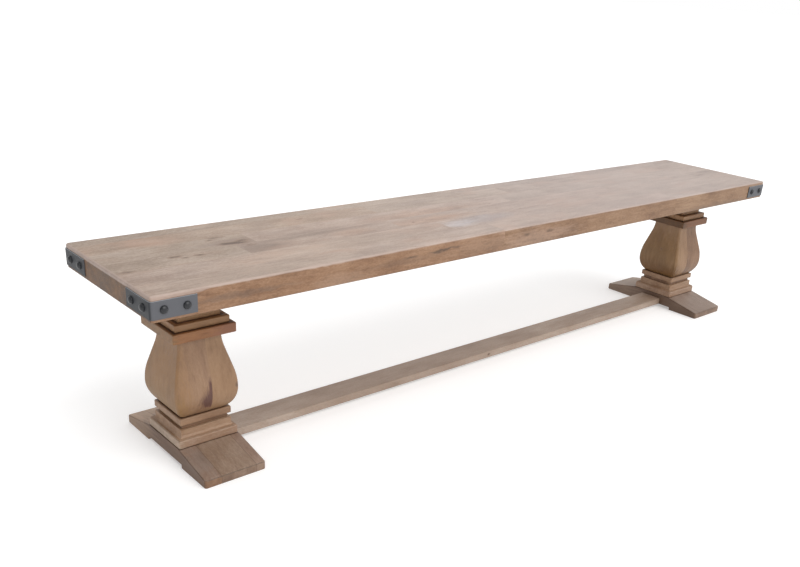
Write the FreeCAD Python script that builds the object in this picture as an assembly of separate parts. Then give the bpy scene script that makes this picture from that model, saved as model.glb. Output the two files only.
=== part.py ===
import FreeCAD, Part
import os
from math import atan, cos, radians, sin, tan

V = FreeCAD.Vector

# Dining bench on two square baluster pedestals, all sizes in millimetres.
# The origin is on the floor under the middle of the seat.
# X runs along the seat, the front long edge faces -Y and +Z points up.

# Seat slab, glued up from lanes of staves
SEAT_LENGTH = 2250.0
SEAT_DEPTH = 400.0
SEAT_HEIGHT = 460.0
SEAT_THICKNESS = 54.0
SLAB_CORNER_RADIUS = 6.0
SLAB_TOP_CHAMFER = 3.0
SLAB_BOTTOM_CHAMFER = 1.5
# Width of a lane as a share of the seat's depth. The last lane takes what is left.
LANE_SHARE = 0.1775
# Butt joints of each lane as shares of the seat's length, front lane first
BUTT_JOINTS = (
    (0.4244, 0.7644),
    (0.376, 0.6667),
    (0.1351, 0.328, 0.7156),
    (0.16, 0.5356),
    (0.3422, 0.5667),
    (0.5022,),
)

# Folded steel corner brackets
BRACKET_THICKNESS = 2.0
BRACKET_HEIGHT = 37.5
BRACKET_RISE = 6.4
BRACKET_SIDE_ARM = 96.0
BRACKET_END_ARM = 100.0
BRACKET_CHAMFER = 0.5
FOLD_CLEARANCE = 0.5

# Dome-headed studs with square tapering shanks
STUD_SIDE_INSET = 26.0
STUD_END_INSET = 29.0
STUD_SPACING = 48.0
STUD_HEAD_RADIUS = 8.5
STUD_HEAD_HEIGHT = 6.5
STUD_HEAD_FACETS = 10
STUD_DOME_DEGREES = 65.0
STUD_SHANK_HALF_WIDTH = 2.0
STUD_POINT_HALF_WIDTH = 0.8
STUD_LENGTH = 24.0

# Cross bearers under the slab, each held by two coach screws
BEARER_INSET = 60.0
BEARER_WIDTH = 100.0
BEARER_THICKNESS = 25.0
BEARER_END_BEVEL = 10.0
COACH_SCREW_INSET = 35.0
COACH_SCREW_RADIUS = 4.0
COACH_SCREW_LENGTH = 60.0
COACH_HEAD_ACROSS_CORNERS = 15.0
COACH_HEAD_HEIGHT = 5.5

# Pedestals
SEAT_OVERHANG = 177.0
NECK_HALF_WIDTH = 50.5
NECK_HEIGHT = 48.3
CAP_STEP_HALF_WIDTH = 65.5
CAP_STEP_HEIGHT = 16.0
CAP_HALF_WIDTH = 75.5
CAP_HEIGHT = 22.7
COLLAR_HALF_WIDTH = 63.2
COLLAR_HEIGHT = 16.5
COVE_HALF_WIDTH = 56.0
COVE_HEIGHT = 10.4
PLINTH_TOP_HALF_WIDTH = 62.4
PLINTH_TOP_HEIGHT = 21.0
PLINTH_COVE_HEIGHT = 6.0
PLINTH_COVE_HOLLOW = 0.46
PLINTH_LEDGE = 2.2
PLINTH_BASE_HALF_WIDTH = 73.2
PLINTH_BASE_HEIGHT = 19.2
BLOCK_CHAMFER = 1.5

# Urn: an arc turns out of its base, and an arc, a slope and an arc lead from its belly to its neck
URN_NECK_HALF_WIDTH = 52.5
URN_BELLY_HALF_WIDTH = 77.7
URN_BASE_HALF_WIDTH = 55.0
URN_BELLY_RISE = 50.5
# How much steeper the slope is than a straight line from belly to neck
URN_SLOPE_FACTOR = 1.5
# The belly's share of the two arcs' radii
URN_BELLY_SHARE = 0.54
URN_ARRIS_CHAMFER = 5.0
URN_GLUE_LINE = 10.0

# Feet, each glued up from three boards
FOOT_HALF_WIDTH = 75.6
FOOT_INSET = 11.3
FOOT_HEIGHT = 42.4
FOOT_TIP_HEIGHT = 19.7
FOOT_FLAT_MARGIN = 2.0
FOOT_NOTCH_HALF_LENGTH = 80.4
FOOT_NOTCH_HEIGHT = 9.0
FOOT_CORNER_RADIUS = 6.0
FOOT_CHAMFER = 2.0
FOOT_OUTER_JOINT = 35.0
FOOT_INNER_JOINT = 52.0

# Stretcher between the feet, with a stub tenon at each end
STRETCHER_WIDTH = 76.0
STRETCHER_THICKNESS = 21.3
STRETCHER_CHAMFER = 1.5
TENON_WIDTH = 50.0
TENON_THICKNESS = 11.0
TENON_LENGTH = 20.0
MORTISE_END_GAP = 0.5
MORTISE_SIDE_GAP = 0.2

# Long bolt that draws each pedestal together, its head in the foot and its nut in the bearer
BOLT_RADIUS = 5.0
BOLT_TAIL = 2.0
BOLT_ACROSS_CORNERS = 19.6
BOLT_HEAD_HEIGHT = 6.5
NUT_HEIGHT = 8.0
WASHER_HALF_WIDTH = 10.0
WASHER_THICKNESS = 2.0
RECESS_RADIUS = 15.0
BEARER_RECESS_DEPTH = 13.0
FOOT_RECESS_DEPTH = 14.0
HOLE_CLEARANCE = 0.3

# Lengths that follow from the sizes above
STAVE_WIDTH = SEAT_DEPTH * LANE_SHARE
PEDESTAL_X = SEAT_LENGTH / 2 - SEAT_OVERHANG
BEARER_LENGTH = SEAT_DEPTH - 2 * BEARER_INSET
COACH_SCREW_Y = BEARER_LENGTH / 2 - COACH_SCREW_INSET
FOOT_HALF_LENGTH = SEAT_DEPTH / 2 - FOOT_INSET

# Heights that follow from them
UNDERSIDE_Z = SEAT_HEIGHT - SEAT_THICKNESS
BEARER_Z = UNDERSIDE_Z - BEARER_THICKNESS
NECK_Z = BEARER_Z - NECK_HEIGHT
CAP_STEP_Z = NECK_Z - CAP_STEP_HEIGHT
CAP_Z = CAP_STEP_Z - CAP_HEIGHT
PLINTH_TOP_Z = FOOT_HEIGHT + PLINTH_BASE_HEIGHT
COVE_Z = PLINTH_TOP_Z + PLINTH_TOP_HEIGHT
COLLAR_Z = COVE_Z + COVE_HEIGHT
URN_Z = COLLAR_Z + COLLAR_HEIGHT
BRACKET_Z = UNDERSIDE_Z + BRACKET_RISE
STUD_Z = BRACKET_Z + BRACKET_HEIGHT / 2
STRETCHER_Z = FOOT_NOTCH_HEIGHT
TENON_Z = STRETCHER_Z + (STRETCHER_THICKNESS - TENON_THICKNESS) / 2

# Clearance holes
BOLT_HOLE_RADIUS = BOLT_RADIUS + HOLE_CLEARANCE
SCREW_HOLE_RADIUS = COACH_SCREW_RADIUS + HOLE_CLEARANCE

SIDES = (("left", -1), ("right", 1))
FACES = (("front", -1), ("back", 1))
ORIGIN = V(0, 0, 0)
UP = V(0, 0, 1)


def box(x0, x1, y0, y1, z0, z1):
    return Part.makeBox(x1 - x0, y1 - y0, z1 - z0, V(x0, y0, z0))


def centred_box(half_x, half_y, z0, z1):
    return box(-half_x, half_x, -half_y, half_y, z0, z1)


def cylinder(radius, z0, z1, x=0.0, y=0.0):
    return Part.makeCylinder(radius, z1 - z0, V(x, y, z0), UP)


def polygon_ring(sides, radius, z):
    """A closed wire with equal sides, its corners at the radius from the Z axis."""
    turns = [radians(360 * (i + 0.5) / sides) for i in range(sides)]
    points = [V(radius * cos(turn), radius * sin(turn), z) for turn in turns]
    return Part.makePolygon(points + points[:1])


def prism(sides, across_corners, z0, height):
    ring = polygon_ring(sides, across_corners / 2, z0)
    return Part.Face(ring).extrude(UP * height)


def square_taper(half_0, half_1, z0, z1):
    """A square shank that tapers from one half width to another."""
    corner = 2**0.5
    rings = [polygon_ring(4, half_0 * corner, z0), polygon_ring(4, half_1 * corner, z1)]
    return Part.makeLoft(rings, True, True)


def edges_along_z(shape):
    return [e for e in shape.Edges if e.BoundBox.XLength + e.BoundBox.YLength < 0.01]


def edges_at_height(shape, z):
    return [e for e in shape.Edges if abs(e.BoundBox.ZMin - z) + abs(e.BoundBox.ZMax - z) < 0.01]


def rounded_box(half_x, half_y, z0, z1, radius):
    """A centred box with its four upright corners rounded."""
    shape = centred_box(half_x, half_y, z0, z1)
    return shape.makeFillet(radius, edges_along_z(shape))


def placed(shape, x=0.0, y=0.0, z=0.0, axis=UP, turn=0.0):
    """A copy of the shape, turned about the axis and then moved."""
    copy = shape.copy()
    copy.rotate(ORIGIN, axis, turn)
    copy.translate(V(x, y, z))
    return copy


def square_turning(flank):
    """A square post whose four sides all follow the flank, a run of edges in the XZ plane."""
    other = [edge.mirror(ORIGIN, V(1, 0, 0)) for edge in flank]
    foot = flank[0].Vertexes[0].Point
    head = flank[-1].Vertexes[-1].Point
    rims = [Part.makeLine(p, V(-p.x, 0, p.z)) for p in (foot, head)]
    face = Part.Face(Part.Wire(Part.__sortEdges__(flank + other + rims)))
    reach = 2 * max(edge.BoundBox.XMax for edge in flank)
    face.translate(V(0, -reach, 0))
    along_y = face.extrude(V(0, 2 * reach, 0))
    return along_y.common(placed(along_y, turn=90))


def split_along_x(shape, cuts, names):
    """The pieces of a shape between planes across X, from the lowest X to the highest."""
    bounds = shape.BoundBox
    ends = [bounds.XMin - 1, *cuts, bounds.XMax + 1]
    y0 = bounds.YMin - 1
    y1 = bounds.YMax + 1
    pieces = {}
    for name, x0, x1 in zip(names, ends, ends[1:]):
        pieces[name] = shape.common(box(x0, x1, y0, y1, bounds.ZMin - 1, bounds.ZMax + 1))
    return pieces


def stud_places():
    """Each stud's point on the slab, and the turn about Z that faces it outwards."""
    places = []
    for _, sx in SIDES:
        for _, sy in FACES:
            for step in (0.0, STUD_SPACING):
                x = sx * (SEAT_LENGTH / 2 - STUD_SIDE_INSET - step)
                y = sy * (SEAT_DEPTH / 2 - STUD_END_INSET - step)
                places.append((x, sy * SEAT_DEPTH / 2, 90 * sy))
                places.append((sx * SEAT_LENGTH / 2, y, 90 - 90 * sx))
    return places


def lay_outwards(shape, x, y, turn):
    """A shape along +Z, laid over to point out of a vertical face at the studs' height."""
    laid = placed(shape, axis=V(0, 1, 0), turn=90)
    return placed(laid, x, y, STUD_Z, UP, turn)


def stud():
    """A stud along +Z: a domed head standing on the origin and a shank below it."""
    top_tilt = radians(STUD_DOME_DEGREES)
    rings = []
    for tilt in (0.0, top_tilt / 2, top_tilt):
        height = STUD_HEAD_HEIGHT * sin(tilt) / sin(top_tilt)
        rings.append(polygon_ring(STUD_HEAD_FACETS, STUD_HEAD_RADIUS * cos(tilt), height))
    head = Part.makeLoft(rings, True, True)
    shank = square_taper(STUD_POINT_HALF_WIDTH, STUD_SHANK_HALF_WIDTH, -STUD_LENGTH, 0)
    return head.fuse(shank)


def stud_hole():
    """What a stud's shank clears out of the slab, from the slab's face inwards."""
    bottom = BRACKET_THICKNESS - STUD_LENGTH - HOLE_CLEARANCE
    point = STUD_POINT_HALF_WIDTH + HOLE_CLEARANCE
    shank = STUD_SHANK_HALF_WIDTH + HOLE_CLEARANCE
    return square_taper(point, shank, bottom, BRACKET_THICKNESS)


def coach_screw_places():
    return [(sx * PEDESTAL_X, sy * COACH_SCREW_Y) for _, sx in SIDES for _, sy in FACES]


def slab():
    """The whole seat slab, with its edges eased and the holes for studs and screws."""
    half_x = SEAT_LENGTH / 2
    half_y = SEAT_DEPTH / 2
    shape = rounded_box(half_x, half_y, UNDERSIDE_Z, SEAT_HEIGHT, SLAB_CORNER_RADIUS)
    shape = shape.makeChamfer(SLAB_TOP_CHAMFER, edges_at_height(shape, SEAT_HEIGHT))
    shape = shape.makeChamfer(SLAB_BOTTOM_CHAMFER, edges_at_height(shape, UNDERSIDE_Z))
    holes = [lay_outwards(stud_hole(), *place) for place in stud_places()]
    screw_top = BEARER_Z + COACH_SCREW_LENGTH + HOLE_CLEARANCE
    for x, y in coach_screw_places():
        holes.append(cylinder(SCREW_HOLE_RADIUS, UNDERSIDE_Z, screw_top, x, y))
    return shape.cut(holes)


def staves():
    """The slab parted into lanes along X, and each lane into staves at its butt joints."""
    whole = slab()
    left = -SEAT_LENGTH / 2
    front = -SEAT_DEPTH / 2
    parts = {}
    for lane, joints in enumerate(BUTT_JOINTS):
        y0 = front + lane * STAVE_WIDTH
        last_lane = lane == len(BUTT_JOINTS) - 1
        y1 = SEAT_DEPTH / 2 if last_lane else y0 + STAVE_WIDTH
        ends = [left + share * SEAT_LENGTH for share in (0.0, *joints, 1.0)]
        for number, (x0, x1) in enumerate(zip(ends, ends[1:])):
            cell = box(x0, x1, y0, y1, UNDERSIDE_Z, SEAT_HEIGHT)
            parts[f"seat_stave_{lane + 1}_{number + 1}"] = whole.common(cell)
    return parts


def brackets():
    """Four flat bars folded round the slab's corners, with square holes for the studs."""
    top = BRACKET_Z + BRACKET_HEIGHT
    half_x = SEAT_LENGTH / 2
    half_y = SEAT_DEPTH / 2
    fold = SLAB_CORNER_RADIUS - FOLD_CLEARANCE
    inner = rounded_box(half_x, half_y, BRACKET_Z, top, fold)
    outer_x = half_x + BRACKET_THICKNESS
    outer_y = half_y + BRACKET_THICKNESS
    outer = rounded_box(outer_x, outer_y, BRACKET_Z, top, fold + BRACKET_THICKNESS)
    rims = edges_at_height(outer, BRACKET_Z) + edges_at_height(outer, top)
    holes = [lay_outwards(stud_hole(), *place) for place in stud_places()]
    band = outer.makeChamfer(BRACKET_CHAMFER, rims).cut([inner, *holes])
    parts = {}
    for side, sx in SIDES:
        for face, sy in FACES:
            x0, x1 = sorted((sx * (half_x - BRACKET_SIDE_ARM), sx * 2 * half_x))
            y0, y1 = sorted((sy * (half_y - BRACKET_END_ARM), sy * 2 * half_y))
            corner = box(x0, x1, y0, y1, BRACKET_Z, top)
            parts[f"corner_bracket_{face}_{side}"] = band.common(corner)
    return parts


def bearer():
    """The cross bearer under the slab, bevelled at its lower ends."""
    shape = centred_box(BEARER_WIDTH / 2, BEARER_LENGTH / 2, BEARER_Z, UNDERSIDE_Z)
    ends = [e for e in edges_at_height(shape, BEARER_Z) if e.BoundBox.YLength < 0.01]
    shape = shape.makeChamfer(BEARER_END_BEVEL, ends)
    holes = [cylinder(RECESS_RADIUS, UNDERSIDE_Z - BEARER_RECESS_DEPTH, UNDERSIDE_Z)]
    for _, sy in FACES:
        holes.append(cylinder(SCREW_HOLE_RADIUS, BEARER_Z, UNDERSIDE_Z, 0, sy * COACH_SCREW_Y))
    return shape.cut(holes)


def eased_block(half_width, z0, height):
    """A square block with all its edges eased."""
    shape = centred_box(half_width, half_width, z0, z0 + height)
    return shape.makeChamfer(BLOCK_CHAMFER, shape.Edges)


def arc(centre, radius, start, end):
    """An arc in the XZ plane. Its angles, in radians, turn from +X towards +Z."""
    turns = (start, (start + end) / 2, end)
    points = [centre + V(radius * cos(turn), 0, radius * sin(turn)) for turn in turns]
    return Part.Arc(*points).toShape()


def urn_flank(base, belly, neck):
    """The urn's outline from base to neck for three half widths."""
    belly_z = URN_Z + URN_BELLY_RISE
    base_radius = ((belly - base) ** 2 + URN_BELLY_RISE**2) / (2 * (belly - base))
    base_turn = 2 * atan((belly - base) / URN_BELLY_RISE)
    rise = CAP_Z - belly_z
    slope = atan(URN_SLOPE_FACTOR * (belly - neck) / rise)
    radii = (rise * tan(slope) - (belly - neck)) * cos(slope) / (1 - cos(slope))
    belly_radius = radii * URN_BELLY_SHARE
    neck_radius = radii - belly_radius
    belly_centre = V(belly - belly_radius, 0, belly_z)
    neck_centre = V(neck + neck_radius, 0, CAP_Z)
    lean = V(cos(slope), 0, sin(slope))
    slope_foot = belly_centre + lean * belly_radius
    slope_head = neck_centre - lean * neck_radius
    return [
        arc(V(belly - base_radius, 0, belly_z), base_radius, -base_turn, 0),
        arc(belly_centre, belly_radius, 0, slope),
        Part.makeLine(slope_foot, slope_head),
        arc(neck_centre, neck_radius, radians(180) + slope, radians(180)),
    ]


def urn():
    """The square baluster, its arrises chamfered by a second one that is turned by 45 degrees."""
    half_widths = (URN_BASE_HALF_WIDTH, URN_BELLY_HALF_WIDTH, URN_NECK_HALF_WIDTH)
    across_corners = [(half_width - URN_ARRIS_CHAMFER / 2) * 2**0.5 for half_width in half_widths]
    chamfers = placed(square_turning(urn_flank(*across_corners)), turn=45)
    return square_turning(urn_flank(*half_widths)).common(chamfers)


def plinth_top():
    """The plinth's upper moulding: a ledge, a cove and an upright square."""
    ledge_z = PLINTH_TOP_Z + PLINTH_LEDGE
    outer = PLINTH_BASE_HALF_WIDTH - PLINTH_LEDGE
    cove_foot = V(outer, 0, ledge_z)
    cove_head = V(PLINTH_TOP_HALF_WIDTH, 0, ledge_z + PLINTH_COVE_HEIGHT)
    chord_middle = (cove_foot + cove_head) * 0.5
    corner = V(PLINTH_TOP_HALF_WIDTH, 0, ledge_z)
    cove_middle = chord_middle + (corner - chord_middle) * PLINTH_COVE_HOLLOW
    flank = [
        Part.makeLine(V(outer, 0, PLINTH_TOP_Z), cove_foot),
        Part.Arc(cove_foot, cove_middle, cove_head).toShape(),
        Part.makeLine(cove_head, V(PLINTH_TOP_HALF_WIDTH, 0, COVE_Z)),
    ]
    return square_turning(flank)


def foot():
    """The foot: flat under the plinth, sloping to its tips and notched underneath."""
    flat = PLINTH_BASE_HALF_WIDTH + FOOT_FLAT_MARGIN
    half = [
        (0, FOOT_NOTCH_HEIGHT),
        (FOOT_NOTCH_HALF_LENGTH, FOOT_NOTCH_HEIGHT),
        (FOOT_NOTCH_HALF_LENGTH, 0),
        (FOOT_HALF_LENGTH, 0),
        (FOOT_HALF_LENGTH, FOOT_TIP_HEIGHT),
        (flat, FOOT_HEIGHT),
    ]
    other = [(-y, z) for y, z in reversed(half[1:])]
    points = [V(-FOOT_HALF_WIDTH, y, z) for y, z in half[1:] + other]
    face = Part.Face(Part.makePolygon(points + points[:1]))
    shape = face.extrude(V(2 * FOOT_HALF_WIDTH, 0, 0))
    uprights = [e for e in edges_along_z(shape) if abs(e.BoundBox.YMin) > FOOT_NOTCH_HALF_LENGTH + 1]
    shape = shape.makeFillet(FOOT_CORNER_RADIUS, uprights)
    tips = [e for e in edges_at_height(shape, FOOT_TIP_HEIGHT) if e.BoundBox.XLength > FOOT_HALF_WIDTH]
    shape = shape.makeChamfer(FOOT_CHAMFER, tips)
    return shape.cut(cylinder(RECESS_RADIUS, 0, FOOT_NOTCH_HEIGHT + FOOT_RECESS_DEPTH))


def foot_boards():
    """The foot parted into its three boards, with the stretcher's mortise in the inner one."""
    cuts = [-FOOT_OUTER_JOINT, FOOT_INNER_JOINT]
    names = ["foot_outer_board", "foot_middle_board", "foot_inner_board"]
    boards = split_along_x(foot(), cuts, names)
    half_y = TENON_WIDTH / 2 + MORTISE_SIDE_GAP
    blind_end = FOOT_HALF_WIDTH - TENON_LENGTH - MORTISE_END_GAP
    z0 = TENON_Z - MORTISE_SIDE_GAP
    z1 = TENON_Z + TENON_THICKNESS + MORTISE_SIDE_GAP
    mortise = box(blind_end, FOOT_HALF_WIDTH, -half_y, half_y, z0, z1)
    boards["foot_inner_board"] = boards["foot_inner_board"].cut(mortise)
    return boards


def pedestal():
    """One pedestal's wooden pieces about the Z axis, with its inner side towards +X."""
    parts = {
        "bearer": bearer(),
        "neck_block": centred_box(NECK_HALF_WIDTH, NECK_HALF_WIDTH, NECK_Z, BEARER_Z),
        "cap_step": eased_block(CAP_STEP_HALF_WIDTH, CAP_STEP_Z, CAP_STEP_HEIGHT),
        "cap_plate": eased_block(CAP_HALF_WIDTH, CAP_Z, CAP_HEIGHT),
        "collar": eased_block(COLLAR_HALF_WIDTH, COLLAR_Z, COLLAR_HEIGHT),
        "cove_block": centred_box(COVE_HALF_WIDTH, COVE_HALF_WIDTH, COVE_Z, COLLAR_Z),
        "plinth_top": plinth_top(),
        "plinth_base": eased_block(PLINTH_BASE_HALF_WIDTH, FOOT_HEIGHT, PLINTH_BASE_HEIGHT),
    }
    parts.update(split_along_x(urn(), [URN_GLUE_LINE], ["urn_outer", "urn_inner"]))
    parts.update(foot_boards())
    bolt_hole = cylinder(BOLT_HOLE_RADIUS, 0, UNDERSIDE_Z)
    clear = ("urn_inner", "foot_outer_board", "foot_inner_board")
    return {name: shape if name in clear else shape.cut(bolt_hole) for name, shape in parts.items()}


def stretcher():
    """The long board between the feet, with its tenons."""
    inner = PEDESTAL_X - FOOT_HALF_WIDTH
    top = STRETCHER_Z + STRETCHER_THICKNESS
    board = centred_box(inner, STRETCHER_WIDTH / 2, STRETCHER_Z, top)
    long_edges = [e for e in board.Edges if e.BoundBox.XLength > inner]
    board = board.makeChamfer(STRETCHER_CHAMFER, long_edges)
    tenon_top = TENON_Z + TENON_THICKNESS
    tenons = centred_box(inner + TENON_LENGTH, TENON_WIDTH / 2, TENON_Z, tenon_top)
    return board.fuse(tenons).removeSplitter()


def nut(z0):
    hexagon = prism(6, BOLT_ACROSS_CORNERS, z0, NUT_HEIGHT)
    return hexagon.cut(cylinder(BOLT_HOLE_RADIUS, z0, z0 + NUT_HEIGHT))


def washer(z0):
    """A square plate washer."""
    plate = centred_box(WASHER_HALF_WIDTH, WASHER_HALF_WIDTH, z0, z0 + WASHER_THICKNESS)
    return plate.cut(cylinder(BOLT_HOLE_RADIUS, z0, z0 + WASHER_THICKNESS))


def tie_bolt(z0, z1):
    """A long bolt between two heights, with its head below the lower one."""
    head = prism(6, BOLT_ACROSS_CORNERS, z0 - BOLT_HEAD_HEIGHT, BOLT_HEAD_HEIGHT)
    return head.fuse(cylinder(BOLT_RADIUS, z0, z1))


def coach_screw():
    """A coach screw pointing up, with its head's top face against the bearer."""
    shank = cylinder(COACH_SCREW_RADIUS, BEARER_Z, BEARER_Z + COACH_SCREW_LENGTH)
    head = prism(6, COACH_HEAD_ACROSS_CORNERS, BEARER_Z - COACH_HEAD_HEIGHT, COACH_HEAD_HEIGHT)
    return shank.fuse(head)


def hardware():
    """The fasteners, each kind as one group of separate solids."""
    centres = [sx * PEDESTAL_X for _, sx in SIDES]
    washer_z = UNDERSIDE_Z - BEARER_RECESS_DEPTH
    nut_z = washer_z + WASHER_THICKNESS
    bolt = tie_bolt(FOOT_NOTCH_HEIGHT + FOOT_RECESS_DEPTH, nut_z + NUT_HEIGHT + BOLT_TAIL)
    proud_stud = placed(stud(), z=BRACKET_THICKNESS)
    return {
        "tie_bolts": [placed(bolt, x) for x in centres],
        "tie_bolt_nuts": [placed(nut(nut_z), x) for x in centres],
        "tie_bolt_washers": [placed(washer(washer_z), x) for x in centres],
        "coach_screws": [placed(coach_screw(), x, y) for x, y in coach_screw_places()],
        "bracket_studs": [lay_outwards(proud_stud, *place) for place in stud_places()],
    }


def export(name, solids):
    shape = solids[0] if len(solids) == 1 else Part.makeCompound(solids)
    shape.exportStep(f"parts/{name}.step")


os.makedirs("parts", exist_ok=True)

pieces = {**staves(), **brackets(), "stretcher": stretcher()}
one_pedestal = pedestal()
for side, sx in SIDES:
    for name, shape in one_pedestal.items():
        pieces[f"{name}_{side}"] = placed(shape, sx * PEDESTAL_X, turn=90 + 90 * sx)

for name, shape in pieces.items():
    export(name, shape.Solids)
for name, solids in hardware().items():
    export(name, solids)
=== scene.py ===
import math

import bmesh
import bpy
from mathutils import Matrix, Vector


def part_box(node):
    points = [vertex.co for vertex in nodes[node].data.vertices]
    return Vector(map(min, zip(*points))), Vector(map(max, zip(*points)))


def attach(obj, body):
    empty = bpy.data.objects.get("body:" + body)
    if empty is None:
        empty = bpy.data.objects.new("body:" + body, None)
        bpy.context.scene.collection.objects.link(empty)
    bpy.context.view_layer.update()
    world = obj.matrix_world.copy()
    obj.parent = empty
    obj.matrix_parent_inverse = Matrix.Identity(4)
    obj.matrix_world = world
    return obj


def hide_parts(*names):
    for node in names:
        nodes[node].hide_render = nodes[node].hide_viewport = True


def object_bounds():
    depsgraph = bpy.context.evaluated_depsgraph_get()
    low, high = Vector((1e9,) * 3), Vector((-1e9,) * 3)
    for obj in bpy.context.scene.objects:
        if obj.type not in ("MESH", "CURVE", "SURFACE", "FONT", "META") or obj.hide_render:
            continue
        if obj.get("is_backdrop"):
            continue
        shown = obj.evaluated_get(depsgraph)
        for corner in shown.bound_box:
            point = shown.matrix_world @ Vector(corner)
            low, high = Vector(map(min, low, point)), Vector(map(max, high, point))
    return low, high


# Looks of a long dining bench: limed wood, gunmetal corner straps and black domed studs.
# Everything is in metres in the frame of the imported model: X runs along the seat, the
# front edge faces -Y, +Z points up, and the origin is on the floor under the seat's middle.

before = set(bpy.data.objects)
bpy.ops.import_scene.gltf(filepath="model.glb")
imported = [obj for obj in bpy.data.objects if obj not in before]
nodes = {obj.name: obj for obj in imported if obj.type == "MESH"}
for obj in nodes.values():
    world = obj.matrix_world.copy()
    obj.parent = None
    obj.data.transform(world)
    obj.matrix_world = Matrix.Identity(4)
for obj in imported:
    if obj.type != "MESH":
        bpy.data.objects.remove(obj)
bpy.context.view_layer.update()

stave_low, stave_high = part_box("seat_stave_1_1")
SEAT_LEFT = stave_low.x
SEAT_FRONT = stave_low.y
SEAT_TOP = stave_high.z
plinth_low, plinth_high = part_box("plinth_base_right")
PEDESTAL_X = (plinth_low.x + plinth_high.x) / 2
cap_low, cap_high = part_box("cap_plate_left")
CAP_MIDDLE = (cap_low.z + cap_high.z) / 2


# Node trees


class Value:
    """A socket of a node tree. Arithmetic on a socket that carries a number adds Math nodes."""

    def __init__(self, owner, socket):
        self.owner = owner
        self.socket = socket

    def _math(self, operation, *operands):
        settings = {"operation": operation}
        return self.owner.node("ShaderNodeMath", settings, dict(enumerate(operands)))

    def __add__(self, other):
        return self._math("ADD", self, other)

    def __radd__(self, other):
        return self._math("ADD", other, self)

    def __sub__(self, other):
        return self._math("SUBTRACT", self, other)

    def __rsub__(self, other):
        return self._math("SUBTRACT", other, self)

    def __mul__(self, other):
        return self._math("MULTIPLY", self, other)

    def __rmul__(self, other):
        return self._math("MULTIPLY", other, self)

    def __pow__(self, other):
        return self._math("POWER", self, other)

    def __abs__(self):
        return self._math("ABSOLUTE", self)

    def __gt__(self, other):
        return self._math("GREATER_THAN", self, other)

    def sine(self):
        return self._math("SINE", self)

    def or_more(self, other):
        return self._math("MAXIMUM", self, other)


class Tree:
    """A node tree that is built node by node."""

    def node(self, kind, settings, sockets, out=0):
        """Adds a node, sets it up, then fills its sockets. Returns one of its outputs."""
        node = self.tree.nodes.new(kind)
        for name, setting in settings.items():
            if name == "stops":
                self.set_stops(node.color_ramp.elements, setting)
            else:
                setattr(node, name, setting)
        for name, given in sockets.items():
            if isinstance(given, Value):
                self.tree.links.new(given.socket, node.inputs[name])
            else:
                node.inputs[name].default_value = given
        return Value(self, node.outputs[out]) if len(node.outputs) else None

    def set_stops(self, elements, stops):
        while len(elements) < len(stops):
            elements.new(1.0)
        for element, (position, colour) in zip(elements, stops):
            element.position = position
            element.color = (*colour, 1.0)

    def parts_of(self, vector):
        return [self.node("ShaderNodeSeparateXYZ", {}, {"Vector": vector}, axis) for axis in "XYZ"]


class Finish(Tree):
    """One procedural material."""

    def __init__(self, name):
        self.material = bpy.data.materials.new(name)
        self.material.use_nodes = True
        self.tree = self.material.node_tree
        self.tree.nodes.clear()
        self.place = self.node("ShaderNodeTexCoord", {}, {}, "Object")
        self.x, self.y, self.z = self.parts_of(self.place)

    def vector(self, x, y, z):
        return self.node("ShaderNodeCombineXYZ", {}, {"X": x, "Y": y, "Z": z})

    def noise(self, vector, scale, detail=2.0, roughness=0.5, out=0):
        """Noise spread over about 0 to 1, with a mean of a half."""
        sockets = {"Vector": vector, "Scale": scale, "Detail": detail, "Roughness": roughness}
        return self.node("ShaderNodeTexNoise", {}, sockets, out)

    def shift(self, vector, operation, by):
        return self.node("ShaderNodeVectorMath", {"operation": operation}, {0: vector, 1: by})

    def mix(self, share, first, second, blend="MIX"):
        """Two colours mixed. The share is how much of the second one shows."""
        settings = {"data_type": "RGBA", "blend_type": blend}
        colours = [c if isinstance(c, Value) else (*c, 1.0) for c in (first, second)]
        return self.node("ShaderNodeMix", settings, {0: share, 6: colours[0], 7: colours[1]}, 2)

    def ramp(self, share, stops):
        return self.node("ShaderNodeValToRGB", {"stops": stops}, {"Fac": share})

    def rise(self, value, low, high):
        """0 below low, 1 above high and a smooth rise between them."""
        settings = {"interpolation_type": "SMOOTHSTEP"}
        sockets = {"Value": value, "From Min": low, "From Max": high}
        return self.node("ShaderNodeMapRange", settings, sockets)

    def scaled(self, colour, factor):
        """A colour made paler or darker by a factor."""
        settings = {"operation": "SCALE"}
        return self.node("ShaderNodeVectorMath", settings, {0: colour, "Scale": factor})

    def blob(self, place, centre, reach):
        """1 at the centre of an ellipsoid, falling to 0 at its surface."""
        shares = tuple(1 / r for r in reach)
        scaled = self.shift(self.shift(place, "SUBTRACT", centre), "MULTIPLY", shares)
        distance = self.node("ShaderNodeVectorMath", {"operation": "LENGTH"}, {0: scaled}, "Value")
        return (1 - distance).or_more(0.0)

    def finished(self, sockets, height, depth):
        """The material, ended in a Principled shader with a relief of that depth in metres."""
        relief = self.node("ShaderNodeBump", {}, {"Strength": 1.0, "Distance": depth, "Height": height})
        shader = self.node("ShaderNodeBsdfPrincipled", {}, {**sockets, "Normal": relief})
        self.node("ShaderNodeOutputMaterial", {}, {"Surface": shader})
        return self.material


# Wood

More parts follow.
